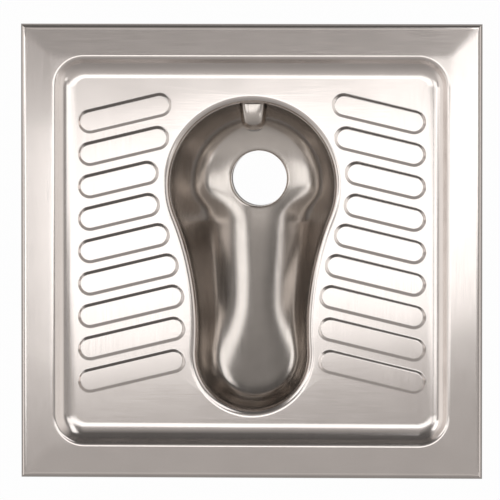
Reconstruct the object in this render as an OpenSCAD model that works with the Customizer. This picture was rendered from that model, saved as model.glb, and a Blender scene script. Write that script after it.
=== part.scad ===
// Pressed stainless steel squat toilet pan, set into the floor by its rim.
// Right-handed frame, millimetres: +Z up, +Y towards the back (flush inlet side), origin at the
// centre of the pan in the plane of the floor that the rim's folded lip rests on.

/* [Rim] */
// Width of the pan, side to side
pan_w = 610; // [560:5:680]
// Depth of the pan, front to back
pan_d = 600; // [560:5:680]
// Thickness of the pressed sheet
sheet = 1.2; // [1:0.1:1.6]
// Height of the rim's top above the floor
rim_h = 12; // [12:0.5:18]
// Width of the flat rim, from the pan's edge to the start of the step
rim_w = 41; // [34:1:52]
// How far the rim falls from the step to its rolled edge
rim_fall = 1.6; // [0.5:0.1:1.6]
// Radius of the rolled edge
edge_r = 7.5; // [4:0.5:7.5]
// Radius of the fold between the rim's side and its lip
fold_r = 2.5; // [2:0.25:2.5]
// Width of the lip folded in under the rim
lip_w = 12; // [9:0.5:18]

/* [Tray] */
// Fall from the rim down to the tray
tray_fall = 16; // [12:0.5:20]
// Slope of the step between them, in degrees
step_slope = 52; // [40:1:65]
// Corner radius of the step at the rim
step_corner_r = 43; // [38:1:60]
// Radius of the step's upper bend
step_top_r = 8; // [5:0.5:9]
// Radius of the step's lower bend
step_foot_r = 13; // [8:0.5:14]

/* [Treads] */
// Treads on each side
tread_count = 9; // [7:1:9]
// Distance from one tread to the next, front to back
tread_pitch = 42.9; // [40:0.1:44]
// Place of the middle tread's outer end behind the middle of the pan
tread_mid_y = -1; // [-6:0.5:6]
// Width of a tread at its foot
tread_w = 31; // [27:0.5:33]
// Height of a tread above the tray
tread_h = 4; // [3:0.25:5]
// Slope of a tread's sides, in degrees
tread_slope = 50; // [40:1:60]
// Bend radius of a tread's edges
tread_bend_r = 2; // [1.7:0.1:2.4]
// Angle that a tread rises towards the bowl, in degrees
tread_angle = 13.4; // [8:0.2:16]
// Distance of the treads' outer ends from the middle of the pan
tread_outer_x = 231; // [222:1:235]
// Longest tread, measured across the pan
tread_reach = 142.5; // [110:0.5:144]
// How much shorter the back row's treads are
back_row_cut = 18; // [0:1:24]
// Flat strip left between the treads' inner ends and the rounded edge of the bowl
tread_gap = 4; // [2:0.5:20]

/* [Bowl outline] */
// Radius of the bowl's wide back end
back_r = 109; // [100:1:113]
// Radius of its front end
front_r = 73; // [66:1:77]
// Distance between the centres of the two ends
ends_apart = 223.5; // [205:0.5:227]
// Radius of the hollow sides between them
waist_r = 400; // [330:5:600]
// Place of the back end's centre behind the middle of the pan
back_y = 86.5; // [76:0.5:90]
// Radius of the tray's edge where it turns down into the bowl
mouth_r = 11; // [8:0.5:12]
// Depth of the collar that the tray's edge makes in the bowl
collar_h = 16; // [13:0.5:18]

/* [Bowl depth] */
// Depth of the bowl at the drain, below the tray
drain_depth = 150; // [130:2:180]
// Depth of the trough where it meets the front wall
front_depth = 60; // [50:2:80]
// How far in from the mouth the front wall curves into the floor
front_curve = 24; // [18:1:30]
// How far in from the mouth the wall curves round the drain
back_curve = 52; // [40:1:58]
// Slope of the trough's bottom where it nears the drain, in degrees
trough_pitch = 15; // [8:0.5:18]
// Half the width of the trough's flat bottom at its front
front_flat = 20; // [8:1:26]
// Half that width at the waist
waist_flat = 2; // [1:0.5:8]
// Half that width where the trough nears the drain
neck_flat = 5; // [3:0.5:12]
// Radius of the trough's sides at its front
front_bottom_r = 100; // [70:5:140]
// Radius of the trough's sides from the waist to the drain
trough_r = 77; // [60:1:95]
// Radius of the dish round the drain
dish_r = 120; // [90:5:160]
// Width of the flange that the bowl is welded to the tray by
weld_w = 14; // [10:0.5:15]

/* [Drain] */
// Place of the drain behind the middle of the pan
drain_y = 90; // [84:1:96]
// Outside diameter of the drain's neck
neck_d = 76; // [70:0.5:90]
// Wall of the drain's neck
neck_wall = 1.2; // [1:0.1:3]
// Length of the neck below the bowl
neck_l = 26; // [18:1:60]
// Width of the neck's welding flange
neck_flange_w = 10; // [8:0.5:12]

/* [Flush inlet] */
// Outside diameter of the inlet pipe
pipe_d = 32; // [25:0.5:34]
// Wall of the inlet pipe
pipe_wall = 1.5; // [1:0.1:2]
// Depth of the inlet pipe's axis below the tray
pipe_depth = 36; // [34:0.5:42]
// Inside diameter of the socket at the pipe's outer end
socket_d = 36; // [36:0.5:42]
// Length of that socket
socket_l = 34; // [25:1:38]
// Width of the spreader where it leaves the bowl's wall
spreader_w = 37; // [37:0.5:46]
// Width of the spreader at its tip
spreader_tip_w = 32; // [24:0.5:34]
// Reach of the spreader into the bowl
spreader_reach = 40; // [34:0.5:46]
// Height of the spreader
spreader_h = 44; // [42:0.5:54]

/* [Underside] */
// Length of the rails under the treads
rail_l = 380; // [300:5:390]
// Width of a rail's web
rail_web_w = 20; // [14:1:22]
// Width of each of a rail's flanges
rail_flange_w = 10; // [7:0.5:11]
// Height of a rail
rail_h = 20; // [14:1:30]
// Thickness of rails, tags and straps
plate = 1.5; // [1.2:0.1:2]
// Clear strip between the inner rails and the bowl's welding flange
rail_gap = 3; // [2:0.5:8]
// Distance from an inner rail to the outer one
rail_spacing = 50; // [46:1:54]
// Distance of the anchor studs from the step, sideways
stud_inset_x = 34; // [30:1:44]
// Distance of the anchor studs from the step, front to back
stud_inset_y = 22; // [18:1:26]
// Length of the anchor studs
stud_l = 22; // [18:1:30]
// Width of the floor anchors
anchor_w = 25; // [20:1:30]
// Thickness of the floor anchors
anchor_t = 2.5; // [2:0.25:4]
// Height of the floor anchors
anchor_h = 78; // [50:1:110]
// Distance from an anchor's stud to its bend
anchor_foot = 16; // [14:0.5:20]
// Length of an anchor's split tail
anchor_tail = 22; // [16:1:30]
// Angle that each half of the tail is spread
tail_spread = 28; // [15:1:35]
// Width of the pipe strap
strap_w = 14; // [10:1:18]
// Length of the pipe strap's feet
strap_foot = 13; // [10:1:18]
// Width of the earth tag
tag_w = 24; // [20:1:30]
// Height of the earth tag
tag_h = 30; // [26:1:40]
// Place of the earth tag to the left of the middle
tag_x = 112; // [80:1:130]
// Distance of the earth tag from the step
tag_inset = 10; // [6:1:16]
// Length of the earth bolt
bolt_l = 20; // [18:1:25]
// Thread diameter of the anchor studs and the earth bolt
thread_d = 8; // [6:1:8]

/* [Fits] */
// Gap in the lap joint between the tray's collar and the bowl
lap_gap = 0.4; // [0.3:0.05:0.6]
// Gap between a part and what it is welded against
weld_gap = 0.3; // [0.2:0.05:0.4]
// Clearance of a fastener in its hole
hole_gap = 0.5; // [0.3:0.1:0.8]

/* [Hidden] */

steel = [0.76, 0.74, 0.72];
dark_steel = [0.60, 0.59, 0.58];
zinc = [0.70, 0.71, 0.72];

tray_z = rim_h - tray_fall;       // top of the tray
under_z = tray_z - sheet;         // underside of the tray
front_y = back_y - ends_apart;    // centre of the bowl's front end
eps = 0.01;
overlap = 1;                      // how far formed edges run into the flat sheet
bend_steps = 4;                   // facets in a bend

// The hollow side is an arc tangent to both ends, so its centre lies waist_r beyond each of them.
side_a = back_r + waist_r;
side_b = front_r + waist_r;
waist_dy = (side_a * side_a - side_b * side_b + ends_apart * ends_apart) / (2 * ends_apart);
waist_x = sqrt(side_a * side_a - waist_dy * waist_dy);
waist_y = back_y - waist_dy;
back_a = atan2(waist_y - back_y, waist_x);     // where the back end meets the side
front_a = atan2(waist_y - front_y, waist_x);   // where the front end meets it

// ---- Bends in sheet metal ----

function arc(c, r, a0, a1, n = bend_steps) =
    [for (i = [0:n]) let (a = a0 + (a1 - a0) * i / n) [c[0] + r * cos(a), c[1] + r * sin(a)]];

// Width of an S-bend that falls by drop at the given slope.
function bend_run(drop, r_top, r_foot, slope) =
    let (r = r_top + r_foot, straight = (drop - r * (1 - cos(slope))) / sin(slope))
    r * sin(slope) + straight * cos(slope);

// Section of a sheet of thickness t that runs level, falls by drop and runs level again.
function s_bend(drop, r_top, r_foot, slope, t, lead) =
    let (run = bend_run(drop, r_top, r_foot, slope))
    concat(
        [[-lead, 0]], arc([0, -r_top], r_top, 90, 90 - slope),
        arc([run, r_foot - drop], r_foot, 270 - slope, 270), [[run + overlap, -drop]],
        [[run + overlap, -drop - t]], arc([run, r_foot - drop], r_foot + t, 270, 270 - slope),
        arc([0, -r_top], r_top - t, 90 - slope, 90), [[-lead, -t]]
    );

// Sweeps a section round a rounded rectangle. The section's x runs outwards from the corners' centres.
module around_corners(w, d, r) {
    half_w = w / 2 - r;
    half_d = d / 2 - r;
    for (i = [0:3]) {
        corner = [[half_w, half_d], [-half_w, half_d], [-half_w, -half_d], [half_w, -half_d]][i];
        run = i % 2 == 0 ? 2 * half_w : 2 * half_d;
        translate(corner) rotate(90 * i) {
            rotate_extrude(angle = 90) children();
            rotate([90, 0, 90]) translate([0, 0, -run]) linear_extrude(run) children();
        }
    }
}

module rounded_rect(w, d, r) {
    square([w - 2 * r, d], center = true);
    square([w, d - 2 * r], center = true);
    for (x = [-1, 1], y = [-1, 1])
        translate([x * (w / 2 - r), y * (d / 2 - r)]) circle(r);
}

// ---- Bowl outline ----

// Points round the bowl's outline, off outside the mouth, anticlockwise from the right-hand side.
back_steps = 44;
side_steps = 10;
front_steps = 32;
around = back_steps + 2 * side_steps + front_steps;

function outline(off) = concat(
    [for (i = [0:back_steps - 1])
        let (a = back_a + (180 - 2 * back_a) * i / back_steps)
        [(back_r + off) * cos(a), back_y + (back_r + off) * sin(a)]],
    [for (i = [0:side_steps - 1])
        let (a = -back_a - (front_a - back_a) * i / side_steps)
        [-waist_x + (waist_r - off) * cos(a), waist_y + (waist_r - off) * sin(a)]],
    [for (i = [0:front_steps - 1])
        let (a = 180 - front_a + (180 + 2 * front_a) * i / front_steps)
        [(front_r + off) * cos(a), front_y + (front_r + off) * sin(a)]],
    [for (i = [0:side_steps - 1])
        let (a = 180 + front_a - (front_a - back_a) * i / side_steps)
        [waist_x + (waist_r - off) * cos(a), waist_y + (waist_r - off) * sin(a)]]
);

function at_depth(ring, depth) = [for (p = ring) [p[0], p[1], tray_z - depth]];

// Solid whose skin runs through a closed loop of rings, each with as many points as the outline.
module ring_solid(rings) {
    count = len(rings);
    function id(j, i) = (j % count) * around + i % around;
    faces = [
        for (j = [0:count - 1], i = [0:around - 1], half = [0, 1])
            half == 0 ? [id(j, i), id(j + 1, i), id(j, i + 1)]
            : [id(j + 1, i), id(j + 1, i + 1), id(j, i + 1)]
    ];
    polyhedron([for (ring = rings) for (p = ring) p], faces, convexity = 6);
}

// ---- Deck: rim, step, tray, treads and the collar round the bowl ----

step_run = bend_run(tray_fall, step_top_r, step_foot_r, step_slope);
opening_w = pan_w - 2 * rim_w;
opening_d = pan_d - 2 * rim_w;
tread_run = bend_run(tread_h, tread_bend_r, tread_bend_r, tread_slope);

// Outer end of tread i on the left, at the centre of its round end.
function tread_start(i) =
    [-tread_outer_x + tread_w / 2, tread_mid_y + ((tread_count - 1) / 2 - i) * tread_pitch];

// Length between the centres of tread i's ends: it runs on until its round end nears the mouth.
mouth = outline(0);
tread_dir = [cos(tread_angle), sin(tread_angle)];
function mouth_distance(p) = min([for (q = mouth) norm(q - p)]);
function run_to_mouth(p, span, tries) =
    let (room = mouth_distance(p + span * tread_dir) - tread_w / 2 - mouth_r - tread_gap)
    tries == 0 || room <= 0 ? span : run_to_mouth(p, span + room, tries - 1);
function tread_span(i) =
    let (reach = tread_reach - (i == 0 ? back_row_cut : 0))
    min(run_to_mouth(tread_start(i), 0, 14), (reach - tread_w) / cos(tread_angle));

// Puts its children at the outer end of each tread, turned along it, with $span its length.
module at_treads() {
    for (side = [0, 1], i = [0:tread_count - 1]) mirror([side, 0, 0]) {
        $span = tread_span(i);
        translate(tread_start(i)) rotate(tread_angle) children();
    }
}

module obround(length, w) {
    translate([0, -w / 2]) square([length, w]);
    circle(w / 2);
    translate([length, 0]) circle(w / 2);
}

// Section of half a tread, from its middle line out to the tray.
module half_tread_section() {
    translate([tread_w / 2 - tread_run, tread_h])
        polygon(s_bend(tread_h, tread_bend_r, tread_bend_r, tread_slope, sheet,
                       tread_w / 2 - tread_run));
}

module tread() {
    rotate(90) rotate_extrude(angle = 180) half_tread_section();
    translate([$span, 0]) rotate(-90) rotate_extrude(angle = 180) half_tread_section();
    rotate([90, 0, 90]) linear_extrude($span) {
        half_tread_section();
        mirror([1, 0]) half_tread_section();
    }
}

// Section of the rim: it falls from the step to its rolled edge, runs down and folds in to the lip.
// x runs outwards from the step.
module rim_section() {
    hip = [rim_w - edge_r, rim_h - rim_fall - edge_r];
    fold = [rim_w - fold_r, fold_r];
    fall_a = atan2(rim_fall, rim_w - edge_r - overlap);
    polygon(concat(
        [[0, rim_h], [overlap, rim_h]], arc(hip, edge_r, 90 - fall_a, 0, 2 * bend_steps),
        arc(fold, fold_r, 0, -90),
        [[rim_w - lip_w, 0], [rim_w - lip_w, sheet]],
        arc(fold, fold_r - sheet, -90, 0), arc(hip, edge_r - sheet, 0, 90 - fall_a, 2 * bend_steps),
        [[overlap, rim_h - sheet], [0, rim_h - sheet]]
    ));
}

// The rim runs straight along each side and is mitred at the square corners.
module rim() {
    for (i = [0:3]) rotate(90 * i) {
        across = (i % 2 == 0 ? pan_w : pan_d) / 2;
        along = (i % 2 == 0 ? pan_d : pan_w) / 2;
        intersection() {
            translate([across - rim_w, along, 0]) rotate([90, 0, 0])
                linear_extrude(2 * along) rim_section();
            linear_extrude(rim_h) polygon([
                [across - along, 0], [across + eps, along + eps], [across + eps, -along - eps]
            ]);
        }
    }
}

// Section of the collar round the mouth; x runs outwards from the mouth.
collar_section = concat(
    [[mouth_r + overlap, 0]], arc([mouth_r, -mouth_r], mouth_r, 90, 180), [[0, -collar_h]],
    [[sheet, -collar_h]], arc([mouth_r, -mouth_r], mouth_r - sheet, 180, 90),
    [[mouth_r + overlap, -sheet]]
);

module deck() {
    color(steel) {
        rim();
        translate([0, 0, rim_h - sheet]) linear_extrude(sheet) difference() {
            square([opening_w + 2 * overlap, opening_d + 2 * overlap], center = true);
            rounded_rect(opening_w, opening_d, step_corner_r);
        }
        around_corners(opening_w, opening_d, step_corner_r)
            translate([step_corner_r, rim_h]) mirror([1, 0])
                polygon(s_bend(tray_fall, step_top_r, step_foot_r, step_slope, sheet, overlap));
        translate([0, 0, under_z]) linear_extrude(sheet) difference() {
            rounded_rect(opening_w - 2 * step_run, opening_d - 2 * step_run, step_corner_r - step_run);
            polygon(outline(mouth_r + overlap / 2));
            at_treads() obround($span, tread_w);
        }
        translate([0, 0, tray_z]) at_treads() tread();
        ring_solid([for (p = collar_section) at_depth(outline(p[0]), -p[1])]);
    }
}

// ---- Bowl ----

lap = sheet + lap_gap;                 // the bowl's inside lies this far outside the mouth
drain_step = 0.6;                      // how far the bowl's hole is cut outside the neck's bore
ledge_spare = 0.5;                     // flat left outside the neck's flange
dish_start = 4;                        // distance from the hole to where the dish starts to rise
drain_r = neck_d / 2 - neck_wall + drain_step;
ledge_r = neck_d / 2 + neck_flange_w + ledge_spare;   // outer edge of the flat ring round the drain

// Angle round the drain that outline point i runs to. The front end gathers into the trough.
gather_a = 34;
function drain_angle(i) =
    i < back_steps ? let (s = i / back_steps) -45 + 270 * s
    : i < back_steps + side_steps
        ? let (s = (i - back_steps) / side_steps) 225 + (45 - gather_a) * s
    : i < back_steps + side_steps + front_steps
        ? let (s = (i - back_steps - side_steps) / front_steps) 270 - gather_a + 2 * gather_a * s
    : let (s = (i - around + side_steps) / side_steps) 270 + gather_a + (45 - gather_a) * s;

function drain_ring(r) = [
    for (i = [0:around - 1]) [r * cos(drain_angle(i)), drain_y + r * sin(drain_angle(i))]
];

// Lesser of two depths, rounded over where they cross.
function soft_min(a, b, k) = let (h = max(k - abs(a - b), 0) / k) min(a, b) - h * h * k / 4;

// Height gained over a distance off the flat of a round bottom of radius r, straight once it is steep.
steep_a = 58;
function rise(off, r) =
    let (curved = min(off, r * sin(steep_a)))
    r - sqrt(r * r - curved * curved) + (off - curved) * tan(steep_a);

// Smooth reading at v between [place, value] stops.
function between(v, stops, i = 0) =
    i == len(stops) - 2 || v <= stops[i + 1][0]
        ? let (t = max(0, min(1, (v - stops[i][0]) / (stops[i + 1][0] - stops[i][0]))))
            stops[i][1] + (stops[i + 1][1] - stops[i][1]) * pow(t, 3) * (t * (6 * t - 15) + 10)
        : between(v, stops, i + 1);

// The trough is a ramp down to the drain. Its flat bottom widens until it holds the ring round the drain.
ramp_start = front_y - front_r;
ramp_end = drain_y - ledge_r;
ramp_blend = 24;                       // how far the bend at the foot of the ramp reaches
waist_place = -60;                     // where the trough is narrowest
neck_y = drain_y - 75;                 // where it starts to widen
flats = [
    [ramp_start, front_flat], [waist_place, waist_flat], [neck_y, neck_flat], [drain_y, drain_r + dish_start]
];
radii = [[ramp_start, front_bottom_r], [waist_place, trough_r], [neck_y, trough_r], [drain_y, dish_r]];
curves = [[waist_place, front_curve], [drain_y, back_curve]];
ramp_run = ramp_end - ramp_start;
ramp_curl = (drain_depth - front_depth - ramp_run * tan(trough_pitch)) / (ramp_run * ramp_run);

// Depth of the bowl's floor at a place, below the tray.
function floor_depth(p) =
    let (
        y = min(drain_y, max(ramp_start, p[1])),
        to_go = -soft_min(y - ramp_end, 0, ramp_blend),
        off = max(0, norm([p[0], p[1] - y]) - between(y, flats))
    )
    drain_depth - to_go * tan(trough_pitch) - ramp_curl * to_go * to_go - rise(off, between(y, radii));

// Depth of the inside at a place that lies d inside the mouth: the wall turns from upright at the
// mouth to level at the floor, ever more gently.
wall_top = collar_h + 2;
function bowl_depth(p, d) =
    let (across = max(0, 1 - d / between(p[1], curves)))
    wall_top + (floor_depth(p) - wall_top) * sqrt(1 - pow(across, 3));

// The wall's rings are spread by how far the wall has turned, up to wall_turn.
wall_turn = 78;
wall_steps = [for (i = [0:8]) back_curve * (1 - pow(cos(wall_turn * i / 8), 2 / 3))];
floor_steps = [0.08, 0.18, 0.32, 0.46, 0.6, 0.74, 0.88];
wall_reach = wall_steps[8];
floor_reach = 60;                      // least distance from there to the middle of the floor

wall_foot = outline(-wall_reach);
ledge = drain_ring(ledge_r);

// Rings of the bowl's inside, from its welding flange to the drain.
inside = concat(
    [at_depth(outline(mouth_r + weld_w), lap)],
    [for (a = [90, 125, 155, 180])
        at_depth(outline(mouth_r + (mouth_r - lap) * cos(a)), mouth_r - (mouth_r - lap) * sin(a))],
    [at_depth(outline(lap), collar_h + 1)],
    [for (d = wall_steps)
        [for (p = outline(-d)) [p[0], p[1], tray_z - bowl_depth(p, d)]]],
    [for (t = floor_steps)
        [for (i = [0:around - 1])
            let (p = wall_foot[i] + (ledge[i] - wall_foot[i]) * t)
            [p[0], p[1], tray_z - bowl_depth(p, wall_reach + floor_reach * t)]]],
    [at_depth(ledge, drain_depth), at_depth(drain_ring(drain_r), drain_depth)]
);

function unit(v) = v / norm(v);

// The outside lies one sheet thickness from the inside, square to it.
last_ring = len(inside) - 1;
function outward(j, i) =
    let (
        along = inside[j][(i + 1) % around] - inside[j][(i + around - 1) % around],
        up = inside[max(j - 1, 0)][i] - inside[min(j + 1, last_ring)][i]
    )
    unit(cross(along, up));
outside = [
    for (j = [0:last_ring]) [
        for (i = [0:around - 1])
            inside[j][i] + sheet * (j == 0 || j >= last_ring - 1 ? [0, 0, -1] : outward(j, i))
    ]
];

pipe_z = tray_z - pipe_depth;

module bowl() {
    color(steel) difference() {
        ring_solid(concat(inside, [for (j = [last_ring:-1:0]) outside[j]]));
        translate([0, back_y, pipe_z]) rotate([-90, 0, 0])
            cylinder(d = pipe_d + 2 * weld_gap, h = back_r + mouth_r);
    }
}

// ---- Drain neck ----

module drain_neck() {
    top = tray_z - drain_depth - sheet;
    bore = neck_d / 2 - neck_wall;
    bend = neck_wall * 2;
    color(steel) translate([0, drain_y, top]) rotate_extrude() polygon(concat(
        [[bore, 0], [neck_d / 2 + neck_flange_w, 0], [neck_d / 2 + neck_flange_w, -neck_wall]],
        arc([neck_d / 2 + bend, -neck_wall - bend], bend, 90, 180), [[neck_d / 2, -neck_l]],
        [[bore, -neck_l]]
    ));
}

// ---- Flush inlet ----

pipe_reach = 12;                       // how far the pipe stands inside the bowl's mouth
lip_room = 2;                          // clear strip between the rim's lip and the socket
pipe_inner_y = back_y + back_r - pipe_reach;
pipe_outer_y = pan_d / 2 - lip_w - lip_room;

// Steel tube with its outer end drawn out into a socket.
module inlet_pipe() {
    r = pipe_d / 2;
    socket_r = socket_d / 2 + pipe_wall;
    swell = pipe_outer_y - pipe_inner_y - socket_l;
    length = pipe_outer_y - pipe_inner_y;
    taper = 2 * (socket_r - r);
    color(steel) translate([0, pipe_inner_y, pipe_z]) rotate([-90, 0, 0]) rotate_extrude() polygon([
        [r - pipe_wall, 0], [r, 0], [r, swell - taper], [socket_r, swell], [socket_r, length],
        [socket_r - pipe_wall, length], [socket_r - pipe_wall, swell], [r - pipe_wall, swell - taper]
    ]);
}

spreader_root = 20;                    // length drawn beyond the bowl's wall and cut off by it

// Plan of the spreader, shrunk by inset: straight sides that close in to a round tip.
module spreader_plan(inset) {
    tip_r = spreader_tip_w / 2 - inset;
    reach = spreader_reach - spreader_tip_w / 2;
    polygon(concat(
        [[spreader_w / 2 - inset, 0]], arc([0, -reach], tip_r, 0, -180, 12), [[-spreader_w / 2 + inset, 0]],
        [[-spreader_w / 2 + inset, spreader_root], [spreader_w / 2 - inset, spreader_root]]
    ));
}

// Side view of the spreader, shrunk by inset: a brow that curls down to the tip.
module spreader_side(inset) {
    brow_r = spreader_h * 0.8;
    reach = spreader_reach - inset;
    foot = -spreader_h - (inset > 0 ? 1 : 0);
    polygon(concat(
        [[spreader_root, -inset], [-reach + brow_r, -inset]],
        arc([-reach + brow_r, -brow_r - inset / 2], brow_r - inset / 2, 90, 180, 10),
        [[-reach, foot], [spreader_root, foot]]
    ));
}

module spreader_form(inset) {
    intersection() {
        translate([0, 0, -spreader_h - 2]) linear_extrude(spreader_h + 4) spreader_plan(inset);
        rotate([90, 0, 90]) translate([0, 0, -spreader_w]) linear_extrude(2 * spreader_w)
            spreader_side(inset);
    }
}

collar_room = 1;                       // clear strip between the collar's end and the spreader
facet_room = 0.3;                      // room for the facets of the bowl's wall
spreader_z = tray_z - collar_h - weld_gap - collar_room;

// Section of the bowl's wall at its back, clear of it by gap.
function wall_section(gap) = [for (d = wall_steps)
    [back_r - gap - d, -bowl_depth([0, back_y + back_r - d], d)]];

module spreader() {
    fitted = wall_section(weld_gap + facet_room);
    foot = fitted[len(fitted) - 1];
    color(steel) intersection() {
        translate([0, back_y + back_r, spreader_z]) difference() {
            spreader_form(0);
            spreader_form(sheet);
        }
        translate([0, back_y, tray_z]) rotate_extrude()
            polygon(concat([[0, foot[1]], [0, -collar_h], [fitted[0][0], -collar_h]], fitted));
    }
}

// Height of the rim's underside at a distance y from the middle: the rim falls towards its edge.
function rim_under(y) =
    rim_h - sheet - rim_fall * (y - pan_d / 2 + rim_w - overlap) / (rim_w - edge_r - overlap);

// Strap that hangs the pipe's socket from the rim. Its feet follow the rim's fall.
module pipe_strap() {
    r = socket_d / 2 + pipe_wall + weld_gap;
    outer = pipe_outer_y - 2 * plate;
    inner = outer - strap_w;
    top = [[outer, rim_under(outer) - weld_gap], [inner, rim_under(inner) - weld_gap]];
    color(steel) {
        translate([0, outer, pipe_z]) rotate([90, 0, 0]) linear_extrude(strap_w) difference() {
            circle(r + plate);
            circle(r);
            translate([-2 * r, 0]) square([4 * r, 2 * r]);
        }
        for (side = [0, 1]) mirror([side, 0, 0]) translate([r, 0, 0]) rotate([90, 0, 90]) {
            linear_extrude(plate) polygon([[inner, pipe_z], [outer, pipe_z], top[0], top[1]]);
            linear_extrude(strap_foot)
                polygon([top[1] - [0, plate], top[0] - [0, plate], top[0], top[1]]);
        }
    }
}

// ---- Rails under the treads ----

web = rail_web_w / 2;
brim = web + rail_flange_w;
rail_inner_x = back_r + mouth_r + weld_w + rail_gap + brim;
rail_outer_x = rail_inner_x + rail_spacing;

module rail(x) {
    color(steel) translate([x, rail_l / 2, under_z]) rotate([90, 0, 0]) linear_extrude(rail_l)
        polygon([
            [-brim, 0], [-web + plate, 0], [-web + plate, -rail_h + plate],
            [web - plate, -rail_h + plate], [web - plate, 0], [brim, 0], [brim, -plate],
            [web, -plate], [web, -rail_h], [-web, -rail_h], [-web, -plate], [-brim, -plate]
        ]);
}

// ---- Floor anchors ----

stud_x = opening_w / 2 - step_run - stud_inset_x;
stud_y = opening_d / 2 - step_run - stud_inset_y;
washer_t = 0.2 * thread_d;
nut_h = 0.8 * thread_d;
nut_across = 1.625 * thread_d;
hole_d = thread_d + 2 * hole_gap;

module at_studs() {
    for (x = [-1, 1], y = [-1, 1]) translate([x * stud_x, y * stud_y, under_z]) children();
}

// Strap bent down from its stud, with a split tail spread both ways to hold in the screed.
module anchor(x, y) {
    slit = anchor_w / 8;
    bend_r = anchor_t * 1.25;
    tongue = (anchor_w - slit) / 2;
    color(dark_steel) translate([x * stud_x, y * stud_y, under_z]) mirror([0, y < 0 ? 1 : 0, 0]) {
        difference() {
            translate([-anchor_w / 2, -anchor_w / 2, -anchor_t])
                cube([anchor_w, anchor_w / 2 + anchor_foot, anchor_t]);
            translate([0, 0, -anchor_t - 1]) cylinder(d = hole_d, h = anchor_t + 2);
        }
        translate([-anchor_w / 2, anchor_foot, -bend_r]) rotate([0, 90, 0]) rotate(90)
            rotate_extrude(angle = 90) translate([bend_r - anchor_t, 0]) square([anchor_t, anchor_w]);
        translate([-anchor_w / 2, anchor_foot + bend_r - anchor_t, -anchor_h + anchor_tail])
            cube([anchor_w, anchor_t, anchor_h - anchor_tail - bend_r]);
        for (s = [0, 1]) mirror([s, 0, 0])
            translate([slit / 2, anchor_foot + bend_r - anchor_t / 2, -anchor_h + anchor_tail])
                rotate([s == 0 ? -tail_spread : tail_spread, 0, 0])
                    translate([0, -anchor_t / 2, -anchor_tail])
                        cube([tongue, anchor_t, anchor_tail + overlap]);
    }
}

module anchor_studs() {
    color(zinc) at_studs() translate([0, 0, -stud_l]) cylinder(d = thread_d, h = stud_l);
}

module washer(d = thread_d) {
    difference() {
        cylinder(d = 2 * d, h = washer_t);
        translate([0, 0, -1]) cylinder(d = hole_d, h = washer_t + 2);
    }
}

module nut(d = thread_d) {
    difference() {
        cylinder(d = nut_across / cos(30), h = nut_h, $fn = 6);
        translate([0, 0, -1]) cylinder(d = d + 0.1, h = nut_h + 2);
    }
}

module anchor_washers() {
    color(zinc) at_studs() translate([0, 0, -anchor_t - washer_t]) washer();
}

module anchor_nuts() {
    color(zinc) at_studs() translate([0, 0, -anchor_t - washer_t - nut_h]) nut();
}

// ---- Earth terminal ----

tag_y = opening_d / 2 - step_run - tag_inset;
bolt_z = under_z - tag_h + tag_w / 2;

module earth_tag() {
    color(steel) difference() {
        union() {
            translate([-tag_x - tag_w / 2, tag_y - tag_w, under_z - plate]) cube([tag_w, tag_w, plate]);
            translate([-tag_x, tag_y, bolt_z]) rotate([90, 0, 0]) cylinder(d = tag_w, h = plate);
            translate([-tag_x - tag_w / 2, tag_y - plate, bolt_z])
                cube([tag_w, plate, under_z - bolt_z]);
        }
        translate([-tag_x, tag_y + 1, bolt_z]) rotate([90, 0, 0]) cylinder(d = hole_d, h = plate + 2);
    }
}

// Puts its children on the earth bolt's axis, with +Z towards the front.
module on_bolt(y) {
    translate([-tag_x, tag_y + y, bolt_z]) rotate([90, 0, 0]) children();
}

module earth_bolt() {
    color(zinc) {
        on_bolt(washer_t + nut_h * 0.8) cylinder(d = nut_across / cos(30), h = nut_h * 0.8, $fn = 6);
        on_bolt(washer_t) cylinder(d = thread_d, h = bolt_l);
    }
}

module earth_washers() {
    color(zinc) {
        on_bolt(washer_t) washer();
        on_bolt(-plate) washer();
    }
}

module earth_nut() {
    color(zinc) on_bolt(-plate - washer_t) nut();
}

$fn = 96;

deck();
bowl();
drain_neck();
inlet_pipe();
spreader();
pipe_strap();
rail(-rail_outer_x);  // rail_left_outer
rail(-rail_inner_x);  // rail_left_inner
rail(rail_inner_x);  // rail_right_inner
rail(rail_outer_x);  // rail_right_outer
anchor(-1, -1);  // anchor_front_left
anchor(1, -1);  // anchor_front_right
anchor(-1, 1);  // anchor_back_left
anchor(1, 1);  // anchor_back_right
anchor_studs();
anchor_washers();
anchor_nuts();
earth_tag();
earth_bolt();
earth_washers();
earth_nut();
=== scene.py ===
"""Looks of a pressed stainless steel squat toilet pan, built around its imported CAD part."""

from math import acos, atan2, cos, hypot, pi, radians, sin, sqrt, tan

import bmesh
import bpy
from mathutils import Matrix, Vector


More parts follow.
